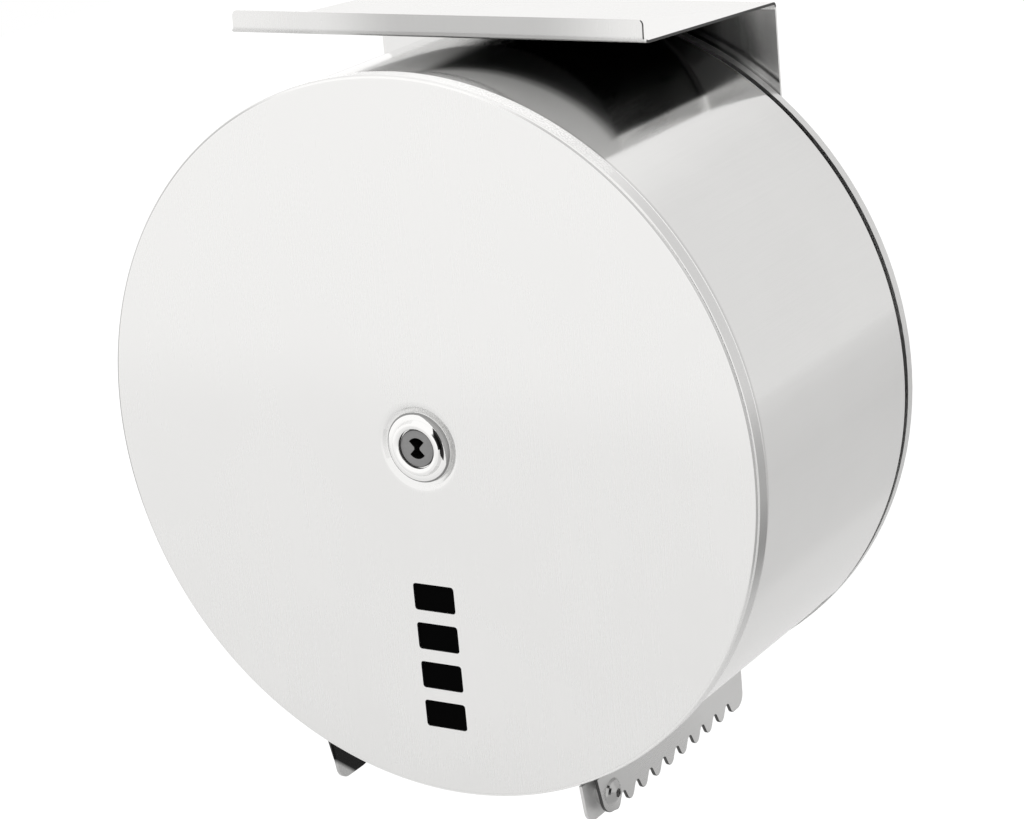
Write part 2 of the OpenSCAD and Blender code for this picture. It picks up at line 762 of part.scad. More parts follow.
module lock_washer() {
    h1 = seat_back;
    h0 = h1 - lock_washer_t;
    color(zinc) difference() {
        disc(barrel_r + 3.4, h0, h1);
        disc(barrel_r + 0.1, h0 - 1, h1 + 1);
        for (a = [0:30:330]) rotate([0, a, 0]) translate([barrel_r + 3.6, 0, 0]) disc(1, h0 - 1, h1 + 1, 24);
    }
}

module lock_nut() {
    h1 = seat_back - lock_washer_t;
    color(zinc) on_axis() translate([0, 0, h1 - lock_nut_t]) hex_nut(lock_nut_af, lock_nut_t, barrel_r);
}

// Keyway: two sectors of one circle, joined by a narrow waist
module key_shape() {
    waist = key_lobe_r * 0.3;
    half_waist = key_lobe_r * 0.11;
    polygon(concat(arc_points(0, 0, key_lobe_r, key_angle, 180 - key_angle, 12),
        [[-waist, half_waist], [-waist, -half_waist]],
        arc_points(0, 0, key_lobe_r, 180 + key_angle, 360 - key_angle, 12),
        [[waist, -half_waist], [waist, half_waist]]));
}

module lock_plug() {
    color(plug_grey) difference() {
        union() {
            disc(plug_r, cam_front, plug_face);
            translate([-cam_square / 2, -cam_front - e, -cam_square / 2]) cube([cam_square, cam_t + e, cam_square]);
        }
        translate([0, -plug_face + key_depth, 0]) rotate([90, 0, 0]) linear_extrude(key_depth + 1) key_shape();
        disc(cam_screw_d / 2, cam_back - 1, cam_front + 6, 32);
    }
}

module lock_cam() {
    color(zinc) difference() {
        union() {
            disc(7.5, cam_back, cam_front);
            translate([-cam_w / 2, -cam_front, 0]) cube([cam_w, cam_t, cam_reach]);
        }
        translate([-cam_square / 2, -cam_front - 1, -cam_square / 2]) cube([cam_square, cam_t + 2, cam_square]);
    }
}

module cam_screw() {
    color(zinc) difference() {
        union() {
            disc(cam_screw_d / 2, cam_back, cam_front + 5, 32);
            disc(4.2, cam_back - cam_head_h, cam_back, 48);
        }
        translate([-0.6, -cam_back, -5]) cube([1.2, cam_head_h - 1, 10]);
    }
}

back_plate();
shelf();
shelf_rivets();
hinge_leaf_base();
hinge_rivets_base();
hinge_pin();
spindle_base();
spindle_nuts();
spindle_shaft();
thrust_washer_rear();
thrust_washer_front();
spindle_circlip();
lock_striker();
striker_screw();
cover_buffers();
core_hub();
front_cap();
drum_shell();
outlet_panel_left();
outlet_panel_right();
tear_blade_left();
tear_blade_right();
blade_spacers();
blade_screws();
sight_window();
hinge_leaf_cover();
hinge_rivets_cover();
lock_bezel();
lock_barrel();
lock_washer();
lock_nut();
lock_plug();
lock_cam();
cam_screw();
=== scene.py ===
"""Looks of a round wall dispenser for one jumbo roll.

Metres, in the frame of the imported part: origin on the drum's axis at the wall, +Z up, front towards -Y.
Shapes are worked out in millimetres as numpy arrays. A depth is a distance in front of the wall, so a
depth h lies at y = -h. An angle is measured in the front view, from +X towards +Z.
"""
import json

import bmesh
import bpy
import numpy as np
from mathutils import Matrix


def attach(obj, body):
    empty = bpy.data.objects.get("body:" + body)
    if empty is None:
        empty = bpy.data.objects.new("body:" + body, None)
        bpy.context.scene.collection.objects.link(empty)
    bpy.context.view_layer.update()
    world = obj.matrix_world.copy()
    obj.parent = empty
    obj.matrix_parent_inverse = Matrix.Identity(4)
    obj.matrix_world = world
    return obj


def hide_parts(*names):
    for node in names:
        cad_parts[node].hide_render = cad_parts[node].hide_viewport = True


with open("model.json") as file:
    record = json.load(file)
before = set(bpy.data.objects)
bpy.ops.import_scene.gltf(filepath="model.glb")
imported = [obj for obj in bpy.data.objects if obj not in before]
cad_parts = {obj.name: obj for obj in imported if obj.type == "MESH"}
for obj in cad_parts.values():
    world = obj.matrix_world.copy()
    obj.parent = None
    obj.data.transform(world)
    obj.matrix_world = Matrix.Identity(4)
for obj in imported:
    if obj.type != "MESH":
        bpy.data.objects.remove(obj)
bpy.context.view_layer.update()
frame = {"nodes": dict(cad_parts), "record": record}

MM = 0.001
TO_FRAME = np.array([MM, -MM, MM])       # times (x, depth, z) in millimetres gives frame coordinates


# ---- Driving sizes in millimetres, from the part's own nodes where they give them ----

def span(node):
    """Lowest and highest (x, depth, z) of a node of the part, to a hundredth of a millimetre."""
    mesh = frame["nodes"][node].data
    flat = np.empty(3 * len(mesh.vertices))
    mesh.vertices.foreach_get("co", flat)
    points = np.round(flat.reshape(-1, 3) / TO_FRAME, 2)
    return points.min(axis=0), points.max(axis=0)


cap_low, cap_high = span("front_cap")
CAP_R = cap_high[0]                      # outside radius of the front cap
FRONT = cap_high[1]                      # depth of the front face
RIM_END = cap_low[1]                     # depth at which the cap's rim ends
SHEET = 0.8                              # thickness of the cap and drum sheet
BEND = 1.2                               # outside radius of the cap's bend
BEND_START = FRONT - BEND                # depth at which the rim turns into the bend

WINDOW_COUNT, WINDOW_PITCH = 4, 15.0
WINDOW_TOP = 51.5                        # top of the first window, below the axis
WINDOW_W, WINDOW_H, WINDOW_ROUND = 17.0, 10.2, 1.2

drum_low, drum_high = span("drum_shell")
DRUM_R = CAP_R - SHEET
DRUM_REAR, DRUM_FRONT = drum_low[1], drum_high[1]
DRUM_EDGE = 41.0                         # degrees below the horizontal at which the drum stops
DRUM_FLANGE = 10.0                       # width of the rear flange
DRUM_BEND = 0.7                          # outside radius of the bend into it

shelf_low, shelf_high = span("shelf")
SHELF_HALF = shelf_high[0]               # half the shelf's width
SHELF_LOW = shelf_low[2]                 # lower edge of the rear flange
SHELF_T = 1.0
SHELF_Z = 133.0                          # height of the top face at the wall
SHELF_REACH = 96.0                       # along the tilted plate, from the wall to the upstand's front
SHELF_TILT = np.radians(3.6)
SHELF_BEND = 1.2                         # radius of the front bend
LIP, LIP_INSET, LIP_ROUND = 7.0, 1.0, 2.0    # upstand: height, step in at each end, corner radius

blade_low, blade_high = span("tear_blade_right")
BLADE_X, BLADE_T = blade_high[0], 1.3    # outer face of the right blade, thickness
BLADE_REAR, TAB_FRONT = blade_low[1], blade_high[1]
TIP_Z, BLADE_TOP = -blade_low[2], -blade_high[2]     # both below the axis
TOOTH, TOOTH_DEPTH = 10.1, 4.9           # pitch and depth of the teeth
GULLET_Z = TIP_Z - TOOTH_DEPTH
FIRST_GAP, GAPS = 25.0, 9                # depth of the gap nearest the wall, number of gaps

bezel_low, bezel_high = span("lock_bezel")
SEAT = bezel_low[1]                      # depth of the pressed lock seat
BEZEL_R = bezel_high[0]
BARREL_HOLE = 9.6
plug_low, plug_high = span("lock_plug")
PLUG_R, PLUG_FACE = plug_high[0], plug_high[1]


# ---- Materials ----

def shader_graph(name):
    """A new node material with its Principled shader."""
    mat = bpy.data.materials.new(name)
    mat.use_nodes = True
    return mat, mat.node_tree, mat.node_tree.nodes["Principled BSDF"]


def object_noise(tree, scale, stretch=(1, 1, 1), detail=3.0, rough=0.55):
    """Noise on Object coordinates, stretched along the axes by the mapping's scale."""
    coord = tree.nodes.new("ShaderNodeTexCoord")
    mapping = tree.nodes.new("ShaderNodeMapping")
    mapping.inputs["Scale"].default_value = stretch
    noise = tree.nodes.new("ShaderNodeTexNoise")
    noise.inputs["Scale"].default_value = scale
    noise.inputs["Detail"].default_value = detail
    noise.inputs["Roughness"].default_value = rough
    tree.links.new(coord.outputs["Object"], mapping.inputs["Vector"])
    tree.links.new(mapping.outputs["Vector"], noise.inputs["Vector"])
    return noise.outputs["Fac"]


def spread(tree, value, low, high, source=(0.3, 0.7)):
    """Map a value from a source range onto another."""
    node = tree.nodes.new("ShaderNodeMapRange")
    node.inputs["From Min"].default_value = source[0]
    node.inputs["From Max"].default_value = source[1]
    node.inputs["To Min"].default_value = low
    node.inputs["To Max"].default_value = high
    tree.links.new(value, node.inputs["Value"])
    return node.outputs["Result"]


def tinted(tree, value, low, high):
    """A colour between two others, chosen by a value."""
    mix = tree.nodes.new("ShaderNodeMix")
    mix.data_type = "RGBA"
    mix.inputs["A"].default_value = (*low, 1)
    mix.inputs["B"].default_value = (*high, 1)
    tree.links.new(value, mix.inputs["Factor"])
    return mix.outputs["Result"]


def darkened(tree, colour, share):
    """A colour times a grey."""
    product = tree.nodes.new("ShaderNodeMix")
    product.data_type = "RGBA"
    product.blend_type = "MULTIPLY"
    product.inputs["Factor"].default_value = 1.0
    tree.links.new(colour, product.inputs["A"])
    tree.links.new(share, product.inputs["B"])
    return product.outputs["Result"]


def bumped(tree, shader, height, strength, distance):
    """Raise the surface a little by a value; the distance is in metres."""
    bump = tree.nodes.new("ShaderNodeBump")
    bump.inputs["Strength"].default_value = strength
    bump.inputs["Distance"].default_value = distance
    tree.links.new(height, bump.inputs["Height"])
    tree.links.new(bump.outputs["Normal"], shader.inputs["Normal"])


# Ways along which a tone can change; the last two slant
WAYS = {
    "x": (1, 0, 0),
    "depth": (0, -1, 0),
    "z": (0, 0, 1),
    "lean": (0, 0.815, 1),
    "front_right": (0.4, -1, 0),
}


def tone_along(tree, way, stops):
    """A grey that changes along one way through the frame, from stops of (millimetres, value)."""
    coord = tree.nodes.new("ShaderNodeTexCoord")
    along = tree.nodes.new("ShaderNodeVectorMath")
    along.operation = "DOT_PRODUCT"
    along.inputs[1].default_value = WAYS[way]
    tree.links.new(coord.outputs["Object"], along.inputs[0])
    first, last = stops[0][0], stops[-1][0]
    place = spread(tree, along.outputs["Value"], 0.0, 1.0, source=(first * MM, last * MM))
    ramp = tree.nodes.new("ShaderNodeValToRGB")
    ramp.color_ramp.interpolation = "EASE"
    marks = ramp.color_ramp.elements
    for number, (at, grey) in enumerate(stops):
        mark = marks[number] if number < 2 else marks.new(1.0)
        mark.position = (at - first) / (last - first)
        mark.color = (grey, grey, grey, 1)
    tree.links.new(place, ramp.inputs["Fac"])
    return ramp.outputs["Color"]


def lightest(tree, tones):
    """The lightest of several tones, given as stops by way."""
    share = None
    for way, stops in tones.items():
        here = tone_along(tree, way, stops)
        if share:
            lighter = tree.nodes.new("ShaderNodeMath")
            lighter.operation = "MAXIMUM"
            tree.links.new(share, lighter.inputs[0])
            tree.links.new(here, lighter.inputs[1])
            here = lighter.outputs[0]
        share = here
    return share


# Brushed sheet: scales of the lines and of the handling clouds, and their shares of the tone
LINE_SCALE, CLOUD_SCALE = 1400.0, 18.0
LINE_SHARE, CLOUD_SHARE = 0.6, 0.4
LINE_HEIGHT = 0.04 * MM
GRAIN_STRETCH = {"z": (1, 1, 0.012), "y": (1, 0.012, 1), "round": (1, 0.02, 1), "none": (1, 1, 1)}
BRIGHTEST = 0.97                         # no sheet is lighter
WARMTH = 0.995                           # blue, as a share of red and green


def steel(name, base, rough, grain, grain_depth, tones=None, metal=1.0):
    """Bright sheet: fine lines along the grain change its roughness, colour and height a little, and
    broad soft clouds stand for handling marks. Tones are painted shade and painted reflection that darken it
    by place; of several, the lightest counts."""
    mat, tree, shader = shader_graph(name)
    shader.inputs["Metallic"].default_value = metal
    lines = object_noise(tree, LINE_SCALE, GRAIN_STRETCH[grain], detail=4.0, rough=0.6)
    clouds = object_noise(tree, CLOUD_SCALE)
    tone = tree.nodes.new("ShaderNodeMath")
    tone.operation = "MULTIPLY_ADD"
    tone.inputs[1].default_value = LINE_SHARE
    tree.links.new(lines, tone.inputs[0])
    tree.links.new(spread(tree, clouds, 0.0, CLOUD_SHARE), tone.inputs[2])
    low, high = base * (1 - grain_depth), min(base * (1 + 0.5 * grain_depth), BRIGHTEST)
    colour = tinted(tree, tone.outputs[0], (low, low, low * WARMTH), (high, high, high * WARMTH))
    if tones:
        colour = darkened(tree, colour, lightest(tree, tones))
    tree.links.new(colour, shader.inputs["Base Color"])
    tree.links.new(spread(tree, tone.outputs[0], rough * 0.85, rough * 1.2), shader.inputs["Roughness"])
    bumped(tree, shader, lines, 0.02 if grain == "none" else 0.025, LINE_HEIGHT)
    return mat


def moulded(name, colour, rough, scale, depth, sheen=0.0):
    """Moulded plastic, rubber or paint: fine pores and a faint change of tone."""
    mat, tree, shader = shader_graph(name)
    pores = object_noise(tree, scale, detail=4.0)
    low = tuple(c * 0.9 for c in colour)
    tree.links.new(tinted(tree, spread(tree, pores, 0, 1), low, colour), shader.inputs["Base Color"])
    tree.links.new(spread(tree, pores, rough * 0.85, rough * 1.15), shader.inputs["Roughness"])
    shader.inputs["Sheen Weight"].default_value = sheen
    bumped(tree, shader, pores, depth, 0.1 * MM)
    return mat


def smoked():
    """Dark strip behind the windows that lets almost no light through; its near-black is painted shade for
    the dark inside.
    """
    mat, tree, shader = shader_graph("smoked_strip")
    shader.inputs["Base Color"].default_value = (0.002, 0.002, 0.002, 1)
    shader.inputs["Specular IOR Level"].default_value = 0.0
    tree.links.new(spread(tree, object_noise(tree, 600.0), 0.30, 0.42), shader.inputs["Roughness"])
    return mat


# Sheet finishes. Tones are painted reflections of dark surroundings and painted shade, darkening a finish by
# place: by way, stops of (millimetres, share of the finish's own colour)
FINISHES = {
    # whole pieces
    "satin_steel": dict(base=0.84, rough=0.26, grain="z", grain_depth=0.05),
    "drum_steel": dict(base=0.80, rough=0.10, grain="round", grain_depth=0.05),
    "plain_steel": dict(base=0.72, rough=0.32, grain="z", grain_depth=0.10),
    "plated_steel": dict(base=0.62, rough=0.26, grain="none", grain_depth=0.06),
    "chrome": dict(base=0.90, rough=0.05, grain="none", grain_depth=0.02),
    "screw_steel": dict(base=0.42, rough=0.14, grain="none", grain_depth=0.05),
    # near-black on sheet edges, in the keyway and on the plug's rim: painted shade and painted reflection
    "near_black_painted_shade": dict(base=0.08, rough=0.45, grain="none", grain_depth=0.10),
    # painted reflection: the blade darker towards the teeth
    "blade_steel": dict(
        base=0.72, rough=0.30, grain="y", grain_depth=0.08,
        tones={"lean": [(-240, 0.62), (-232, 0.64), (-222, 0.82), (-190, 0.90), (-150, 1.0), (-100, 1.0)]}),
    # painted shade: the lug darker low down
    "outlet_right": dict(
        base=0.94, rough=0.40, grain="none", grain_depth=0.04, metal=0.45,
        tones={"z": [(-140, 0.62), (-118, 0.62), (-106, 1.0), (0, 1.0)]}),
    # painted reflection: black over the lug near the front
    "outlet_left": dict(
        base=0.85, rough=0.30, grain="none", grain_depth=0.04,
        tones={"z": [(-140, 0.0), (-119.5, 0.0), (-117.5, 1.0), (0, 1.0)],
               "lean": [(-250, 0.62), (-232.6, 0.62), (-230.4, 0.004), (0, 0.004)]}),
    # drum
    # painted shade: a band of the wall just behind the cap's rim
    "drum_wall": dict(
        base=0.80, rough=0.10, grain="round", grain_depth=0.05,
        tones={"depth": [(0, 1.0), (118.4, 1.0), (119.2, 0.8), (128, 0.8)]}),
    # front cap
    # painted shade: the face slightly darker below its upper part
    "cap_face": dict(
        base=0.84, rough=0.26, grain="z", grain_depth=0.03,
        tones={"z": [(-132, 0.93), (-90, 0.95), (-50, 0.955), (0, 0.955), (40, 1.0), (132, 1.0)]}),
    # painted reflection: the bend darker except near the top and bottom
    "cap_bend": dict(
        base=0.92, rough=0.22, grain="round", grain_depth=0.05,
        tones={"z": [(-132, 1.0), (-66, 1.0), (-45, 0.86), (-23, 0.47), (0, 0.47), (34, 0.52), (66, 0.62),
                     (93, 0.58), (114, 0.58), (128, 1.0), (132, 1.0)]}),
    # painted reflection: the rim darker, least so at the top
    "cap_rim": dict(
        base=0.97, rough=0.20, grain="round", grain_depth=0.05,
        tones={"z": [(-132, 0.66), (-66, 0.70), (-45, 0.63), (-23, 0.36), (0, 0.53), (34, 0.74), (90, 0.74),
                     (114, 0.92), (132, 1.0)]}),
    # painted highlight: matt near-white on the top of the rim
    "rim_top": dict(
        base=0.97, rough=0.25, grain="none", grain_depth=0.01, metal=0.15,
        tones={"z": [(90, 0.80), (100, 0.80), (108, 0.92), (116, 1.0), (132, 1.0)]}),
    # painted highlight along the rim's rounded end, with painted reflection darkening it on the lower half
    "rim_edge": dict(
        base=0.95, rough=0.40, grain="none", grain_depth=0.02, metal=0.2,
        tones={"z": [(-132, 0.8), (-60, 0.8), (-42, 0.66), (-22, 0.26), (0, 0.6), (30, 0.95), (132, 1.0)]}),
    # painted shade: a little darker on the left of the seat's pressed edge
    "seat_edge": dict(base=0.76, rough=0.30, grain="none", grain_depth=0.02),
    # shelf
    # painted reflection and painted shade: black from the middle to near the right end
    "shelf_underside": dict(
        base=0.95, rough=0.28, grain="y", grain_depth=0.04,
        tones={"x": [(-84.5, 1.0), (-10, 1.0), (0, 0.03), (75.6, 0.03), (77.2, 1.0), (84.5, 1.0)]}),
    # painted highlight: matt white; painted reflection and painted shade: black across the middle, lighter to
    # the front right
    "shelf_front": dict(
        base=0.97, rough=0.60, grain="y", grain_depth=0.04, metal=0.0,
        tones={"x": [(-84.5, 1.0), (-10, 1.0), (2, 0.01), (75.6, 0.01), (77.2, 1.0), (84.5, 1.0)],
               "front_right": [(0, 0.01), (82, 0.01), (87, 0.06), (90.5, 0.45), (94, 1.0), (140, 1.0)]}),
    # painted reflection: black right of the middle, grey towards the right end
    "shelf_flange": dict(
        base=0.84, rough=0.16, grain="z", grain_depth=0.06,
        tones={"x": [(-84, 0.92), (-20, 0.92), (20, 0.03), (50, 0.06), (58, 0.20), (64, 0.50), (73, 0.62),
                     (77, 0.66), (82, 0.50), (84, 0.50)]}),
    # painted reflection: the upstand darker in the middle
    "shelf_lip": dict(
        base=0.92, rough=0.24, grain="z", grain_depth=0.06,
        tones={"x": [(-84, 0.86), (-50, 0.80), (-10, 0.56), (40, 0.56), (84, 0.84)]}),
    # lock bezel
    # painted reflection: black crescent on the bevel
    "bezel_dark": dict(base=0.03, rough=0.20, grain="none", grain_depth=0.02),
    # painted highlight: pale matt ring at the foot
    "bezel_foot": dict(base=0.78, rough=0.50, grain="none", grain_depth=0.02, metal=0.3),
    # painted shade: dark ring in the crease near the foot
    "bezel_line": dict(base=0.28, rough=0.25, grain="none", grain_depth=0.02),
    # painted reflection: grey crescent on the shoulder
    "bezel_shade": dict(base=0.34, rough=0.22, grain="none", grain_depth=0.02),
}

materials = {name: steel(name, **finish) for name, finish in FINISHES.items()}
materials["plug_metal"] = moulded("plug_metal", (0.20, 0.20, 0.20), 0.35, 900.0, 0.05)
materials["hub_plastic"] = moulded("hub_plastic", (0.74, 0.74, 0.71), 0.5, 1500.0, 0.15)
materials["washer_plastic"] = moulded("washer_plastic", (0.78, 0.76, 0.70), 0.35, 1500.0, 0.08)
materials["buffer_rubber"] = moulded("buffer_rubber", (0.02, 0.02, 0.02), 0.75, 2500.0, 0.3, sheen=0.1)
materials["smoked_strip"] = smoked()


# ---- Outlines and surfaces ----

def arc(cx, cy, r, a0, a1, steps):
    """Points of a circular arc: centre plus r times (cos, sin)."""
    a = np.radians(np.linspace(a0, a1, steps + 1))
    return np.stack([cx + r * np.cos(a), cy + r * np.sin(a)], axis=1)


def chain(*parts):
    """Join lists of (u, v) rows end to end."""
    return np.concatenate([np.atleast_2d(np.asarray(p, dtype=float)) for p in parts])


def grid_faces(rows, cols, wrap_rows=False, wrap_cols=False):
    """Corner numbers of the quads of a grid of rows by cols points, as one array."""
    i = np.arange(rows if wrap_rows else rows - 1)
    j = np.arange(cols if wrap_cols else cols - 1)
    i, j = np.meshgrid(i, j, indexing="ij")
    i2, j2 = (i + 1) % rows, (j + 1) % cols
    quads = np.stack([i * cols + j, i2 * cols + j, i2 * cols + j2, i * cols + j2], axis=-1)
    return quads.reshape(-1, 4)


def turned(profile, count, start=0.0, sweep=360.0):
    """Closed outline of (radius, depth) carried round the axis that is square to the wall:
    x = r cos a, depth = h, z = r sin a, for a from start over sweep. Part turns get end caps."""
    r, h = np.asarray(profile, dtype=float).T
    full = abs(sweep) >= 360.0
    a = np.radians(start + sweep * np.arange(count if full else count + 1) / count)
    x, z = np.outer(np.cos(a), r), np.outer(np.sin(a), r)
    points = np.stack([x, np.broadcast_to(h, x.shape), z], axis=-1).reshape(-1, 3)
    rows, cols = x.shape
    faces = grid_faces(rows, cols, wrap_rows=full, wrap_cols=True).tolist()
    if not full:
        faces += [np.arange(cols)[::-1].tolist(), (np.arange(cols) + (rows - 1) * cols).tolist()]
    return points, faces


def stood(outline, near, far, place):
    """Outline of (u, v) carried straight from one level to another; place maps (u, v, level) to a point."""
    u, v = np.asarray(outline, dtype=float).T
    n = len(u)
    points = np.concatenate([place(u, v, np.full(n, near)), place(u, v, np.full(n, far))])
    ring = np.arange(n)
    nxt = (ring + 1) % n
    sides = np.stack([ring, nxt, nxt + n, ring + n], axis=1).tolist()
    return points, sides + [ring[::-1].tolist(), (ring + n).tolist()]


def from_side(u, v, level):
    """Side view to space: u is depth, v is height, level is x."""
    return np.stack([level, u, v], axis=1)


def from_front(u, v, level):
    """Front view to space: u is x, v is height, level is depth."""
    return np.stack([u, level, v], axis=1)


# ---- Pieces ----

SHARP = 30.0                             # degrees between faces, beyond which an edge isn't smoothed
BEVEL_FROM = 50.0                        # degrees between faces, beyond which an edge is rounded


def closed_object(name, points, faces):
    """An object from rows of (x, depth, z) in millimetres and lists of corner numbers, with its doubles
    merged and its faces turned outwards."""
    mesh = bpy.data.meshes.new(name)
    mesh.from_pydata((np.asarray(points, dtype=float) * TO_FRAME).tolist(), [], faces)
    work = bmesh.new()
    work.from_mesh(mesh)
    bmesh.ops.remove_doubles(work, verts=work.verts, dist=1e-7)
    bmesh.ops.recalc_face_normals(work, faces=work.faces)
    work.to_mesh(mesh)
    work.free()
    obj = bpy.data.objects.new(name, mesh)
    bpy.context.scene.collection.objects.link(obj)
    return obj


def piece(name, points, faces, body, nodes, slot, smooth=SHARP, bevel=0.0):
    """A smoothed piece with its finish, on its body, in place of the part's nodes."""
    obj = closed_object(name, points, faces)
    mesh = obj.data
    mesh.polygons.foreach_set("use_smooth", np.ones(len(mesh.polygons), dtype=bool))
    mesh.set_sharp_from_angle(angle=np.radians(smooth))
    mesh.materials.append(materials[slot])
    if bevel:
        edge = obj.modifiers.new("edge", "BEVEL")
        edge.width = bevel * MM
        edge.segments = 2
        edge.limit_method = "ANGLE"
        edge.angle_limit = np.radians(BEVEL_FROM)
        edge.harden_normals = True
    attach(obj, body)
    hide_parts(*nodes)
    return obj


CUT_IN, CUT_OUT = 6.0, 4.0               # reach of a cutting shape behind and in front of a face


def cut(obj, outlines, face):
    """Take outlines in the front view away from a piece, through its face at one depth, and keep the
    result as the piece's own mesh."""
    tools = [closed_object("tool", *stood(outline, face - CUT_IN, face + CUT_OUT, from_front))
             for outline in outlines]
    for tool in tools:
        step = obj.modifiers.new("cut", "BOOLEAN")
        step.operation = "DIFFERENCE"
        step.solver = "EXACT"
        step.object = tool
    depsgraph = bpy.context.evaluated_depsgraph_get()
    mesh = bpy.data.meshes.new_from_object(obj.evaluated_get(depsgraph))
    mesh.set_sharp_from_angle(angle=np.radians(SHARP))
    obj.modifiers.clear()
    obj.data = mesh
    for tool in tools:
        bpy.data.objects.remove(tool)


class Faces:
    """Centres of a mesh's faces in millimetres, their radius and bearing in degrees in the front view, and
    how far each face looks right, forward and up, from -1 to 1."""

    def __init__(self, mesh):
        self.count = len(mesh.polygons)
        centre, normal = np.empty(3 * self.count), np.empty(3 * self.count)
        mesh.polygons.foreach_get("center", centre)
        mesh.polygons.foreach_get("normal", normal)
        self.x, self.depth, self.z = (centre.reshape(-1, 3) / TO_FRAME).T
        self.right, self.forward, self.up = (normal.reshape(-1, 3) * (1, -1, 1)).T
        self.r = np.hypot(self.x, self.z)
        self.bearing = np.degrees(np.arctan2(self.z, self.x))


def finish_faces(obj, chosen):
    """Give faces their own finish: chosen maps a finish to a test of Faces. A later test wins."""
    faces = Faces(obj.data)
    index = np.zeros(faces.count, dtype=np.int32)
    for number, (finish, test) in enumerate(chosen.items()):
        obj.data.materials.append(materials[finish])
        index[test(faces)] = number + 1
    obj.data.polygons.foreach_set("material_index", index)


# ---- Front cap: disc, pressed lock seat, turned rim ----

# Edge of the seat, a smooth step: (radius, share of the seat's depth)
SEAT_PRESS = [(13.2, 1.0), (13.9, 0.86), (14.5, 0.5), (15.1, 0.14), (15.9, 0.0)]
RIM_ROUND = 0.4                          # rounding of the rim's end
BACK_RINGS = (17.0, 60.0, 129.5)         # radii at which the disc's back has points
FACE_RINGS = (129.0, 110.0, 60.0, 17.0)  # radii at which its face has points
NEAR = 0.1                               # closer than any two faces that differ in finish
FLAT = 0.995                             # looks forward from a flat
RIM_TOP_LOW, RIM_TOP_LEFT = 102.0, -60.0     # lowest z and furthest left x of the rim's painted highlight on its top


def cap_profile():
    """Closed outline of the cap: back of the seat, back of the disc, inside of the rim, its rounded end,
    outside of the rim, the bend, the disc's face, and the soft press of the seat."""
    inner, back = CAP_R - SHEET, FRONT - SHEET
    press = np.array(SEAT_PRESS) * (1, SEAT - FRONT)
    return chain(
        [(BARREL_HOLE, SEAT - SHEET)], press + (0, back), [(r, back) for r in BACK_RINGS],
        arc(CAP_R - BEND, BEND_START, BEND - SHEET, 90, 0, 3),
        [(inner, RIM_END + 0.3), (inner + 0.1, RIM_END + 0.08), (inner + 0.25, RIM_END)],
        arc(CAP_R - RIM_ROUND, RIM_END + RIM_ROUND, RIM_ROUND, 270, 360, 4),
        [(CAP_R, RIM_END + 0.9), (CAP_R, BEND_START - 0.5)],
        arc(CAP_R - BEND, BEND_START, BEND, 0, 90, 8),
        [(CAP_R - BEND - 0.4, FRONT)], [(r, FRONT) for r in FACE_RINGS],
        press[::-1] + (0, FRONT), [(BARREL_HOLE, SEAT)])


def window_outline(top):
    """Rectangle with round corners: four quarter arcs."""
    r = WINDOW_ROUND
    side, high, low = WINDOW_W / 2 - r, top - r, top - WINDOW_H + r
    return chain(arc(side, high, r, 0, 90, 6), arc(-side, high, r, 90, 180, 6),
                 arc(-side, low, r, 180, 270, 6), arc(side, low, r, 270, 360, 6))


def on_rim(f):
    """Outside of the rim, between its rounded end and the bend."""
    return (f.r > CAP_R - NEAR) & (f.depth < BEND_START - NEAR) & (f.depth > RIM_END + 0.5)


cap = piece("front_disc", *turned(cap_profile(), 480), "cover", ["front_cap"], "satin_steel")
cut(cap, [window_outline(-WINDOW_TOP - WINDOW_PITCH * k) for k in range(WINDOW_COUNT)], FRONT)
# Painted reflection and painted shade on the face, bend and rim; painted highlight on the rim's top and end;
# painted shade at the seat's left edge
finish_faces(cap, {
    "cap_face": lambda f: (f.forward > FLAT) & (f.depth > FRONT - NEAR),
    "cap_rim": on_rim,
    # left side of the seat's pressed edge, painted darker: painted shade
    "seat_edge": lambda f: (abs(f.r - 14.6) < 0.7) & (f.forward > 0.3) & (abs(f.bearing) > 158),
    "rim_edge": lambda f: (f.r > CAP_R - 0.65) & (f.depth < RIM_END + 0.95),
    "rim_top": lambda f: on_rim(f) & (f.z > RIM_TOP_LOW) & (f.x > RIM_TOP_LEFT),
    "cap_bend": lambda f: (f.r > CAP_R - BEND) & (f.forward > 0.64) & (f.forward < FLAT),
})


# ---- Drum: rolled sheet with an inward rear flange, open at the bottom ----

def drum_profile():
    """Closed outline of the drum sheet: rear flange, small bend, wall up to the cap."""
    inner, flange = DRUM_R - SHEET, DRUM_R - DRUM_FLANGE
    middle = 60.0
    return chain(
        [(flange, DRUM_REAR), (DRUM_R - DRUM_BEND, DRUM_REAR)],
        arc(DRUM_R - DRUM_BEND, DRUM_REAR + DRUM_BEND, DRUM_BEND, 270, 360, 5),
        [(DRUM_R, DRUM_REAR + 1.2), (DRUM_R, middle), (DRUM_R, DRUM_FRONT),
         (inner, DRUM_FRONT), (inner, middle), (inner, DRUM_REAR + SHEET), (flange, DRUM_REAR + SHEET)])


def on_drum_end(f):
    """The two cut ends of the rolled sheet, which look round the axis: the normal's moment about the axis
    is nearly the radius."""
    return (f.z < 0) & (abs(f.depth - 62) < 20) & (abs(f.right * f.z - f.up * f.x) > 100)


drum = piece("drum", *turned(drum_profile(), 320, start=-DRUM_EDGE, sweep=180 + 2 * DRUM_EDGE),
             "cover", ["drum_shell"], "drum_steel")
finish_faces(drum, {
    # painted shade on the wall just behind the cap's rim
    "drum_wall": lambda f: (f.r > DRUM_R - NEAR) & (abs(f.forward) < 0.1),
    # the drum's cut ends painted near-black: painted shade
    "near_black_painted_shade": on_drum_end,
})


# ---- Tear blades ----

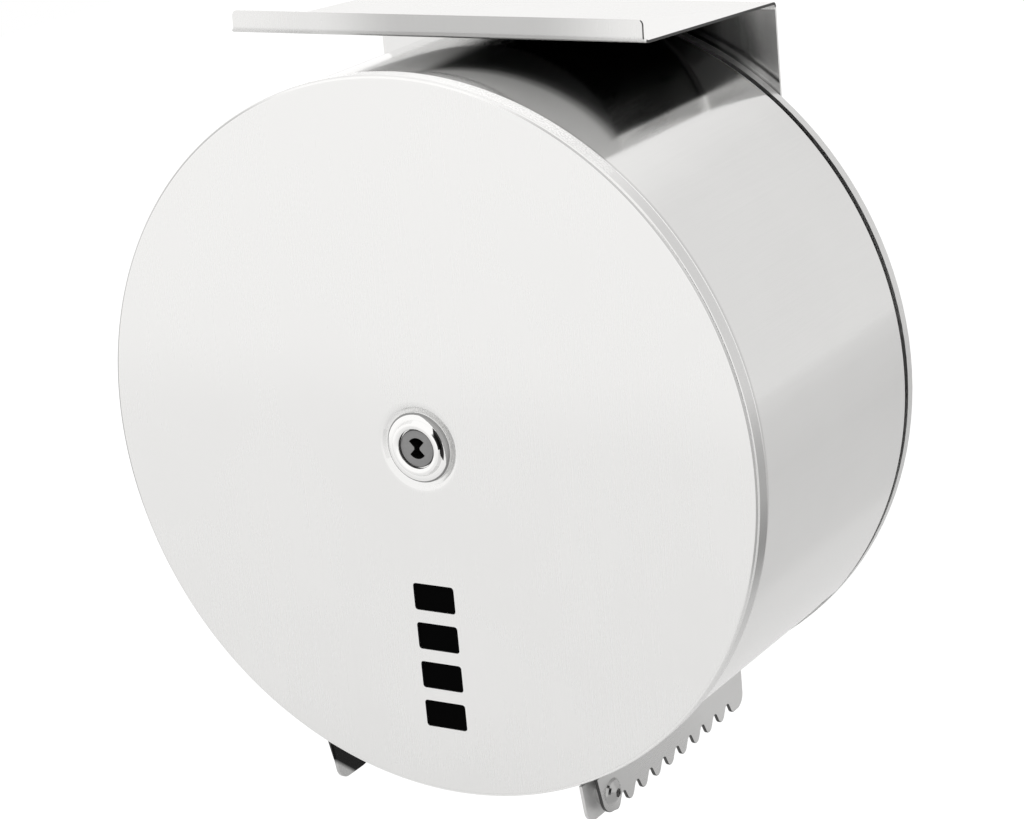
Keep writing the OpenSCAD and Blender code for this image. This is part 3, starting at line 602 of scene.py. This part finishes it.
def blade_outline():
    """Side view of a blade: rear corner, then gaps and teeth as two arcs joined by a straight flank, then
    the rounded nose under the screw."""
    gap_r, tip_r = 0.15 * TOOTH, 0.255 * TOOTH
    rise = TIP_Z - GULLET_Z - gap_r - tip_r
    flank = np.arcsin((gap_r + tip_r) / np.hypot(TOOTH / 2, rise)) + np.arctan(2 * rise / TOOTH)
    flank = np.degrees(flank)
    corner, nose = 5.0, 7.6
    parts = [[(BLADE_REAR, -BLADE_TOP)], arc(BLADE_REAR + corner, -TIP_Z + corner, corner, 180, 270, 8),
             arc(FIRST_GAP - TOOTH / 2, -TIP_Z + tip_r, tip_r, 270, 270 + flank, 5)]
    for k in range(GAPS):
        h = FIRST_GAP + k * TOOTH
        end, steps = (270, 5) if k == GAPS - 1 else (270 + flank, 10)
        parts += [arc(h, -GULLET_Z - gap_r, gap_r, 90 + flank, 90 - flank, 10),
                  arc(h + TOOTH / 2, -TIP_Z + tip_r, tip_r, 270 - flank, end, steps)]
    parts += [arc(TAB_FRONT - nose - 2.6, -TIP_Z + nose + 0.6, nose, 270, 345, 10), [(TAB_FRONT, -BLADE_TOP)]]
    return chain(*parts)


def blade(side, name, node):
    """A blade on one side, 1 for right and -1 for left, with its rounded outline painted near-black as
    painted shade.
    """
    points, faces = stood(blade_outline(), side * BLADE_X, side * (BLADE_X - BLADE_T), from_side)
    obj = piece(name, points, faces, "cover", [node], "blade_steel", smooth=40, bevel=0.25)
    finish_faces(obj, {"near_black_painted_shade": lambda f: abs(f.right) < 0.5})
    obj.modifiers["edge"].material = 1


blade(1, "blade_right", "tear_blade_right")
blade(-1, "blade_left", "tear_blade_left")


# ---- Lock: stepped bezel and key plug ----

HOLE, CREST, SHOULDER = 7.2, 8.6, 10.3   # radii of the bezel's hole, crest and shoulder
FOOT_R = 11.5                            # inner radius of the bezel's foot
FOOT_H, FOOT_STEP = 0.5, 1.2             # height of the foot outside and inside, above the seat
SHOULDER_RISE = 1.485                    # rise of the shoulder's curve above the foot
CREST_H, CREST_RISE = 2.6, 0.7           # start of the crest's curve above the seat, rise from there
LOBE, WAIST, FLANK = 3.85, 1.15, 0.42    # keyway: lobe radius, half waist, half height of the waist
LOBE_FROM = 38.0                         # degrees above the horizontal at which a lobe starts


def bezel_profile():
    """Closed outline: foot, round shoulder, steep bevel, rounded crest that falls into the hole."""
    a, b = np.radians(np.linspace(0, 90, 31)), np.radians(np.linspace(50, 180, 15))
    shoulder = np.stack([SHOULDER + (BEZEL_R - SHOULDER) * np.cos(a),
                         SEAT + FOOT_H + SHOULDER_RISE * np.sin(a)], axis=1)
    crest = np.stack([CREST + (CREST - HOLE) * np.cos(b),
                      SEAT + CREST_H + CREST_RISE * np.sin(b)], axis=1)
    bevel = shoulder[-1] + np.outer(np.arange(1, 10) / 10, crest[0] - shoulder[-1])
    return chain([(FOOT_R, SEAT), (BEZEL_R - 0.1, SEAT)], shoulder, bevel, crest,
                 [(HOLE, SEAT + FOOT_STEP), (FOOT_R, SEAT + FOOT_STEP)])


def tapering(f, middle, half, power):
    """0 at a bearing of middle degrees, growing to 1 at half degrees to either side."""
    return ((f.bearing - middle) / half) ** power


def in_shade(f):
    """Grey crescent of painted reflection on the shoulder, at the right: its inner edge moves out towards its
    ends.
    """
    return (f.depth > SEAT + 0.8) & (f.r > 11.0 + 1.5 * tapering(f, 28, 58, 2)) & (f.r < 12.7)


def in_dark(f):
    """Black crescent of painted reflection on the bevel, at the right, with blunt ends."""
    return (f.depth > SEAT + 1.5) & (f.r > 9.8 + 1.25 * tapering(f, 15, 34, 6)) & (f.r < 11.05)


bezel = piece("bezel", *turned(bezel_profile(), 240), "cover", ["lock_bezel"], "chrome")
# painted highlight at the foot, painted reflections on the shoulder and bevel, painted shade in the crease
finish_faces(bezel, {
    "bezel_foot": lambda f: (f.r > BEZEL_R - 0.35) & (f.depth > SEAT),
    "bezel_shade": in_shade,
    "bezel_line": lambda f: (abs(f.r - BEZEL_R + 0.45) < 0.3) & (f.depth > SEAT + 0.8),
    "bezel_dark": in_dark,
})


def plug_profile():
    """Half outline from the axis: rear, side, small bevel, face."""
    rear = SEAT - 14.0
    return [(0.0, rear), (PLUG_R, rear), (PLUG_R, PLUG_FACE - 0.3), (PLUG_R - 0.1, PLUG_FACE - 0.08),
            (PLUG_R - 0.3, PLUG_FACE), (0.0, PLUG_FACE)]


def keyway_outline():
    """Two lobes of one circle, with straight flanks in to a narrow waist."""
    return chain(arc(0, 0, LOBE, LOBE_FROM, 180 - LOBE_FROM, 12), [(-WAIST, FLANK), (-WAIST, -FLANK)],
                 arc(0, 0, LOBE, 180 + LOBE_FROM, 360 - LOBE_FROM, 12), [(WAIST, -FLANK), (WAIST, FLANK)])


def in_keyway(f):
    """Walls and floor of the keyway."""
    return (f.r < 5.0) & (f.depth > SEAT - 13) & (f.depth < SEAT + 2)


def on_plug_edge(f):
    """The plug's small bevel, and its side in front of the seat."""
    return (f.r > PLUG_R - 0.28) & (f.depth > SEAT + 1.5)


plug = piece("key_plug", *turned(plug_profile(), 96), "lock_cylinder", ["lock_plug"], "plug_metal")
cut(plug, [keyway_outline()], SEAT)
# the keyway and the plug's rim painted near-black: painted shade
finish_faces(plug, {"near_black_painted_shade": lambda f: in_keyway(f) | on_plug_edge(f)})


# ---- Shelf: one sheet bent at the rear and at the front ----

# Where one finish of the sheet ends and the next begins
FLANGE_TOP, PLATE_LOW = 131.5, 131.0     # z: the flange lies below the first, the plate above the second
REAR_BEND_LOW = 129.5                    # z from which the rear bend counts as underside
FRONT_PART = 58.0                        # depth from which the underside counts as front part


def on_shelf(u, v):
    """Side view of the tilted sheet: u runs along its top face from the wall, v is square to it."""
    return np.stack([u * np.cos(SHELF_TILT) - v * np.sin(SHELF_TILT),
                     SHELF_Z + u * np.sin(SHELF_TILT) + v * np.cos(SHELF_TILT)], axis=-1)


def turn_shelf(way):
    """Turn (u, v) directions by the shelf's tilt."""
    u, v = way.T
    c, s = np.cos(SHELF_TILT), np.sin(SHELF_TILT)
    return np.stack([u * c - v * s, u * s + v * c], axis=1)


def shelf_line():
    """Side view of the sheet's wall-side and upper face, from the flange's lower edge to the top of the
    upstand, with the unit way through the sheet at each point and the half width there. The half width is
    less on the upstand and follows a quarter circle at its corners."""
    rear_r = SHELF_T + 1.0
    end = SHELF_REACH - SHELF_T
    tilt = np.degrees(SHELF_TILT)
    centre = SHELF_Z + rear_r * np.tan(SHELF_TILT) - rear_r / np.cos(SHELF_TILT)
    rows = 9
    flange = np.stack([np.zeros(rows), np.linspace(SHELF_LOW, centre - 0.8, rows)], axis=1)
    rear = arc(rear_r, centre, rear_r, 180, 90 + tilt, 8)
    bend_u = end - SHELF_BEND
    plate_u = np.concatenate([[rear_r + 1.0], np.linspace(8, bend_u - 6, rows), [bend_u - 0.8]])
    plate = on_shelf(plate_u, np.zeros(len(plate_u)))
    a = np.radians(np.linspace(270, 360, 8))
    front = on_shelf(bend_u + SHELF_BEND * np.cos(a), SHELF_BEND + SHELF_BEND * np.sin(a))
    corner = np.radians(np.linspace(0, 90, rows))
    corner_v = LIP - LIP_ROUND + LIP_ROUND * np.sin(corner)
    lip_v = np.concatenate([[SHELF_BEND + 0.8, 3.0, LIP - LIP_ROUND - 0.3], corner_v])
    lip = on_shelf(np.full(len(lip_v), end), lip_v)
    through = chain(np.tile([1.0, 0.0], (rows, 1)), arc(0, 0, -1, 180, 90 + tilt, 8),
                    turn_shelf(np.tile([0.0, -1.0], (len(plate_u), 1))),
                    turn_shelf(np.stack([np.cos(a), np.sin(a)], axis=1)),
                    turn_shelf(np.tile([1.0, 0.0], (len(lip_v), 1))))
    half = np.full(len(through), SHELF_HALF)
    half[-len(lip_v) - 3:] = SHELF_HALF - LIP_INSET
    half[-rows:] = SHELF_HALF - LIP_INSET - LIP_ROUND + LIP_ROUND * np.cos(corner)
    return chain(flange, rear, plate, front, lip), through, half


def shelf_surface():
    """Two grids, the sheet's face and its back, a sheet's thickness apart along the way through it, each
    the side line times the width; strips close all four edges."""
    line, through, half = shelf_line()
    across = np.concatenate([[-1, -0.99], np.linspace(-0.95, 0.95, 15), [0.99, 1]])
    x = np.outer(half, across)
    rows, cols = x.shape

    def layer(points):
        depth, z = (np.broadcast_to(column[:, None], x.shape) for column in points.T)
        return np.stack([x, depth, z], axis=-1).reshape(-1, 3)

    points = np.concatenate([layer(line), layer(line + SHELF_T * through)])
    grid = grid_faces(rows, cols)
    far = rows * cols
    i, j = np.arange(rows - 1) * cols, np.arange(cols - 1)
    side = np.stack([i, i + cols, i + cols + far, i + far], axis=1)
    end = np.stack([j, j + 1, j + 1 + far, j + far], axis=1)
    strips = [side, side + cols - 1, end, end + (rows - 1) * cols]
    return points, np.concatenate([grid, grid[:, ::-1] + far] + strips).tolist()


def under_shelf(f):
    """Underside of the plate, and the rear bend below it."""
    rear_bend = (f.depth < 4) & (f.forward > 0.3)
    return (f.z > REAR_BEND_LOW) & (f.depth < SHELF_REACH - 2.5) & ((f.up < -0.3) | rear_bend)


def under_front(f):
    """Front part of the underside, and the outside of the front bend."""
    return (f.z > PLATE_LOW) & (f.depth > FRONT_PART) & (f.depth < SHELF_REACH + 2) & (f.up < -0.3)


sheet = piece("shelf_sheet", *shelf_surface(), "base", ["shelf"], "satin_steel", smooth=40, bevel=0.12)
# Painted reflection and painted shade on the flange, underside, front part and upstand
finish_faces(sheet, {
    "shelf_flange": lambda f: (f.z < FLANGE_TOP) & (f.forward > 0.5),
    "shelf_underside": under_shelf,
    "shelf_front": under_front,
    "shelf_lip": lambda f: (f.depth > SHELF_REACH - 3) & (f.forward > 0.3),
    # the right edges painted near-black: painted shade
    "near_black_painted_shade": lambda f: (f.right > 0.5) & (f.z > PLATE_LOW),
})


# ---- Nodes shown as they are in the part ----

# Nodes whose finish differs from that of their material slot
OWN_FINISH = {
    "outlet_panel_right": "outlet_right",
    "outlet_panel_left": "outlet_left",
    "blade_screws": "screw_steel",
}
slots = {part["node"]: part["material_slot"] for part in frame["record"]["subparts"]}
for node, obj in frame["nodes"].items():
    obj.data.materials.clear()
    obj.data.materials.append(materials[OWN_FINISH.get(node, slots[node])])


# ---- Floor ----

FLOOR_X, FLOOR_FRONT, FLOOR_BACK, FLOOR_Z = 3.0, -0.9, 5.0, -0.6     # metres
FLOOR_WHITE = 0.8                        # share of the floor that the camera sees plain white
FLOOR_GLOW = 1.15                        # strength of that white
# Grey of the floor from left to right, as the metal mirrors it: (millimetres, grey)
FLOOR_TONES = [(-3000, 0.69), (180, 0.69), (280, 0.64), (900, 0.64), (1100, 0.66), (1500, 0.68), (2500, 0.74),
               (3000, 0.78)]


def pale_floor():
    """Matt floor. The camera sees it part white, part as it is lit, so that its shadows stay."""
    mat, tree, shader = shader_graph("pale_floor")
    tree.links.new(tone_along(tree, "x", FLOOR_TONES), shader.inputs["Base Color"])
    shader.inputs["Roughness"].default_value = 0.9
    glow = tree.nodes.new("ShaderNodeEmission")
    glow.inputs["Strength"].default_value = FLOOR_GLOW
    path = tree.nodes.new("ShaderNodeLightPath")
    seen = tree.nodes.new("ShaderNodeMath")
    seen.operation = "MULTIPLY"
    seen.inputs[1].default_value = FLOOR_WHITE
    mix = tree.nodes.new("ShaderNodeMixShader")
    tree.links.new(path.outputs["Is Camera Ray"], seen.inputs[0])
    tree.links.new(seen.outputs[0], mix.inputs["Fac"])
    tree.links.new(shader.outputs["BSDF"], mix.inputs[1])
    tree.links.new(glow.outputs["Emission"], mix.inputs[2])
    tree.links.new(mix.outputs["Shader"], tree.nodes["Material Output"].inputs["Surface"])
    return mat


floor_mesh = bpy.data.meshes.new("floor")
floor_mesh.from_pydata([(-FLOOR_X, FLOOR_FRONT, FLOOR_Z), (FLOOR_X, FLOOR_FRONT, FLOOR_Z),
                        (FLOOR_X, FLOOR_BACK, FLOOR_Z), (-FLOOR_X, FLOOR_BACK, FLOOR_Z)], [], [(0, 1, 2, 3)])
floor_mesh.materials.append(pale_floor())
floor = bpy.data.objects.new("floor", floor_mesh)
bpy.context.scene.collection.objects.link(floor)


# ---- Light and camera ----

# Light of the room low down and high up, and the heights between which it changes
ROOM = (0.93, 1.10)
ROOM_CHANGE = (-0.45, -0.15)
ROOM_COLOUR = (1.0, 0.993, 0.985, 1)
# The room's darker parts, in degrees: bearing from +X towards +Y, how far to either side of it the part is
# full and where it is gone, lowest and highest height above the horizon, and the soft edge at both. What
# is left of the light there is a share
DARK_PARTS = [
    dict(bearing=-14.0, full=7, gone=12, low=-50, high=42, soft=8, left=0.02),
    dict(bearing=66.0, full=22, gone=40, low=-30, high=24, soft=12, left=0.80),
    dict(bearing=122.0, full=30, gone=60, low=8, high=50, soft=8, left=0.94),
]


def aimed(place, back, roll=0.0):
    """Matrix of a lamp or camera at a place: its back looks one way, and its right side is level but for
    a roll in degrees."""
    back = np.asarray(back, dtype=float) / np.linalg.norm(back)
    level = np.cross((0, 0, 1), back)
    level /= np.linalg.norm(level)
    rise = np.cross(back, level)
    c, s = np.cos(np.radians(roll)), np.sin(np.radians(roll))
    matrix = Matrix([c * level + s * rise, c * rise - s * level, back]).transposed().to_4x4()
    matrix.translation = place
    return matrix


def area_light(name, place, aim, size, power):
    """A soft light that faces a point."""
    lamp = bpy.data.lights.new(name, "AREA")
    lamp.shape = "RECTANGLE"
    lamp.size, lamp.size_y = size
    lamp.energy = power
    obj = bpy.data.objects.new(name, lamp)
    obj.matrix_world = aimed(place, np.subtract(place, aim))
    bpy.context.scene.collection.objects.link(obj)
    return obj


def studio_world():
    """White all round for the camera. What the metal sees is a bright room with darker parts. Each part
    fades the light down round one bearing, over a range of heights: a smooth step of the cosine of the
    bearing's difference, times a smooth step of the height at each end."""
    world = bpy.data.worlds.new("studio")
    bpy.context.scene.world = world
    world.use_nodes = True
    tree = world.node_tree
    tree.nodes.clear()
    link = tree.links.new

    def node(kind, operation=None):
        made = tree.nodes.new(kind)
        if operation:
            made.operation = operation
        return made

    def step(value, low, high, to_low, to_high):
        ramp = node("ShaderNodeMapRange")
        ramp.interpolation_type = "SMOOTHSTEP"
        for key, number in (("From Min", low), ("From Max", high), ("To Min", to_low), ("To Max", to_high)):
            ramp.inputs[key].default_value = number
        link(value, ramp.inputs["Value"])
        return ramp.outputs["Result"]

    def times(a, b):
        product = node("ShaderNodeMath", "MULTIPLY")
        link(a, product.inputs[0])
        link(b, product.inputs[1])
        return product.outputs["Value"]

    coord = node("ShaderNodeTexCoord")
    split = node("ShaderNodeSeparateXYZ")
    link(coord.outputs["Generated"], split.inputs["Vector"])
    height = split.outputs["Z"]
    level_way = node("ShaderNodeVectorMath", "MULTIPLY")
    level_way.inputs[1].default_value = (1, 1, 0)
    link(coord.outputs["Generated"], level_way.inputs[0])
    flat = node("ShaderNodeVectorMath", "NORMALIZE")
    link(level_way.outputs["Vector"], flat.inputs[0])

    def faded(light, bearing, full, gone, low, high, soft, left):
        turn = np.radians(bearing)
        along = node("ShaderNodeVectorMath", "DOT_PRODUCT")
        along.inputs[1].default_value = (np.cos(turn), np.sin(turn), 0)
        link(flat.outputs["Vector"], along.inputs[0])
        here = step(along.outputs["Value"], np.cos(np.radians(gone)), np.cos(np.radians(full)), 0.0, 1.0)
        above = step(height, np.sin(np.radians(low - soft)), np.sin(np.radians(low)), 0.0, 1.0)
        below = step(height, np.sin(np.radians(high)), np.sin(np.radians(high + soft)), 1.0, 0.0)
        return times(light, step(times(here, times(above, below)), 0.0, 1.0, 1.0, left))

    light = step(height, *ROOM_CHANGE, *ROOM)
    for part in DARK_PARTS:
        light = faded(light, **part)
    room = node("ShaderNodeBackground")
    room.inputs["Color"].default_value = ROOM_COLOUR
    link(light, room.inputs["Strength"])
    white = node("ShaderNodeBackground")
    white.inputs["Color"].default_value = (1, 1, 1, 1)
    path = node("ShaderNodeLightPath")
    mix = node("ShaderNodeMixShader")
    link(path.outputs["Is Camera Ray"], mix.inputs["Fac"])
    link(room.outputs["Background"], mix.inputs[1])
    link(white.outputs["Background"], mix.inputs[2])
    link(mix.outputs["Shader"], node("ShaderNodeOutputWorld").inputs["Surface"])


studio_world()
key = area_light("key", place=(-0.9, -1.3, 1.4), aim=(0, -0.06, 0), size=(1.4, 1.2), power=14.0)
key.visible_glossy = False

CAMERA_PLACE = (0.57692, -0.96647, 0.33489)     # metres
CAMERA_BEARING = np.radians(122.6371)    # way it looks, from +X towards +Y
CAMERA_DOWN = np.radians(17.6767)        # way it looks, below the horizon
CAMERA_ROLL = -5.3098                    # degrees
CAMERA_LENS, CAMERA_SENSOR = 108.052, 36.0   # millimetres

behind = np.array([-np.cos(CAMERA_BEARING) * np.cos(CAMERA_DOWN),
                   -np.sin(CAMERA_BEARING) * np.cos(CAMERA_DOWN),
                   np.sin(CAMERA_DOWN)])
camera_data = bpy.data.cameras.new("camera")
camera_data.lens = CAMERA_LENS
camera_data.sensor_width = CAMERA_SENSOR
camera = bpy.data.objects.new("camera", camera_data)
camera.matrix_world = aimed(CAMERA_PLACE, behind, CAMERA_ROLL)
bpy.context.scene.collection.objects.link(camera)
bpy.context.scene.camera = camera

bpy.context.scene.view_settings.view_transform = "Standard"
